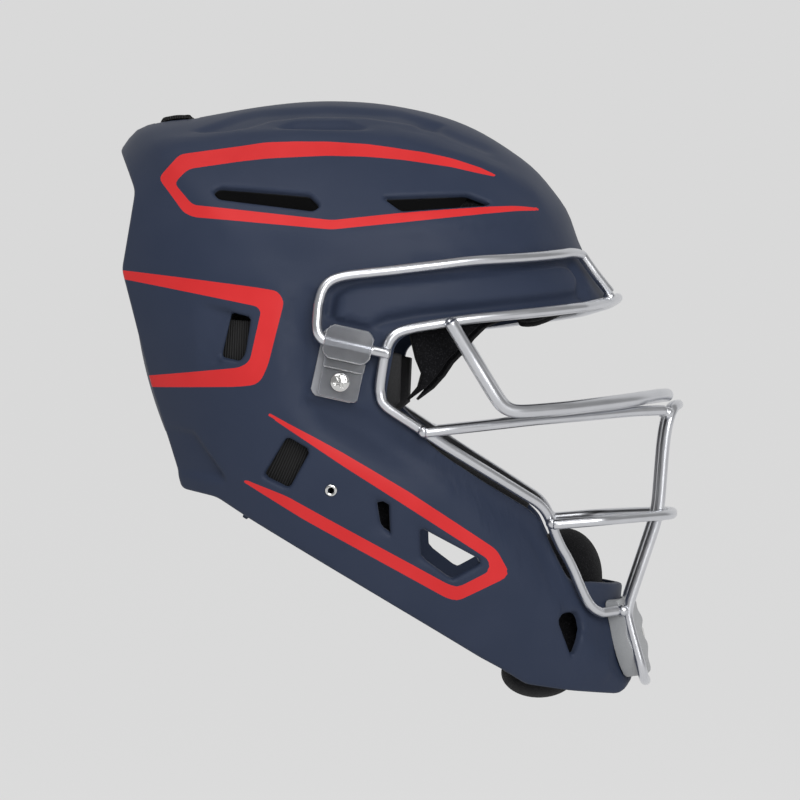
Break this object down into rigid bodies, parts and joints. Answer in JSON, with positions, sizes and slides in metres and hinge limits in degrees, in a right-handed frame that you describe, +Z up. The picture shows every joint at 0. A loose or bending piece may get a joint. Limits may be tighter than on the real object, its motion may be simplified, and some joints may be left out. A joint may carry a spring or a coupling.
{
  "type": "catcher's helmet",
  "caption": "Hockey-style catcher's helmet: a vented hard shell with a wire face cage, clear side clips, soft inner padding, a chin cup and an elastic-held sliding back plate",
  "frame": {"origin": "middle of the wearer's head, level with the side clips", "axes": "+Z up, the wearer looks along -Y, the wearer's right side is -X"},
  "size_m": [0.2446, 0.2983, 0.312],
  "materials": {
    "shell": "moulded, matt dark blue with red striping",
    "wire": "satin silver over steel rod",
    "steel": "bright plated screws, nuts and eyelets",
    "clear": "clear moulded plastic, slightly milky",
    "grey": "light grey moulded plastic",
    "fabric": "black brushed knit over foam",
    "foam": "black closed-cell foam with a cloth face",
    "elastic": "black ribbed elastic webbing"
  },
  "bodies": {
    "helmet": {"centre_loop": "wire", "cheek_edge_pad_left": "foam", "cheek_edge_pad_right": "foam", "chin_clip": "grey", "chin_nut": "steel", "chin_pad": "fabric", "chin_screw": "steel", "clip_base_left": "clear", "clip_base_right": "clear", "clip_nut_left": "steel", "clip_nut_right": "steel", "clip_screw_left": "steel", "clip_screw_right": "steel", "crown_pad": "fabric", "crown_strap": "elastic", "ear_pad_left": "fabric", "ear_pad_right": "fabric", "eye_bar": "wire", "eyelet_left": "steel", "eyelet_right": "steel", "frame_wire": "wire", "front_pad": "fabric", "jaw_pad_left": "fabric", "jaw_pad_right": "fabric", "lower_bar": "wire", "lower_strap_left": "elastic", "lower_strap_right": "elastic", "mid_bar_left": "wire", "mid_bar_right": "wire", "shell": "shell", "side_clip_left": "clear", "side_clip_right": "clear", "temple_pad_left": "fabric", "temple_pad_right": "fabric", "upper_strap_left": "elastic", "upper_strap_right": "elastic", "upper_wire_left": "wire", "upper_wire_right": "wire"},
    "back_plate": {"back_plate": "shell", "back_plate_pad": "fabric"}
  },
  "joints": [
    {"name": "back_plate_slide", "type": "slide", "parent": "helmet", "child": "back_plate", "axis": [0, 1, 0], "range_m": [0, 0.03], "stiffness_N_per_m": 300, "springref_m": -0.01, "deforming": ["crown_strap", "upper_strap_left", "upper_strap_right", "lower_strap_left", "lower_strap_right"]}
  ]
}
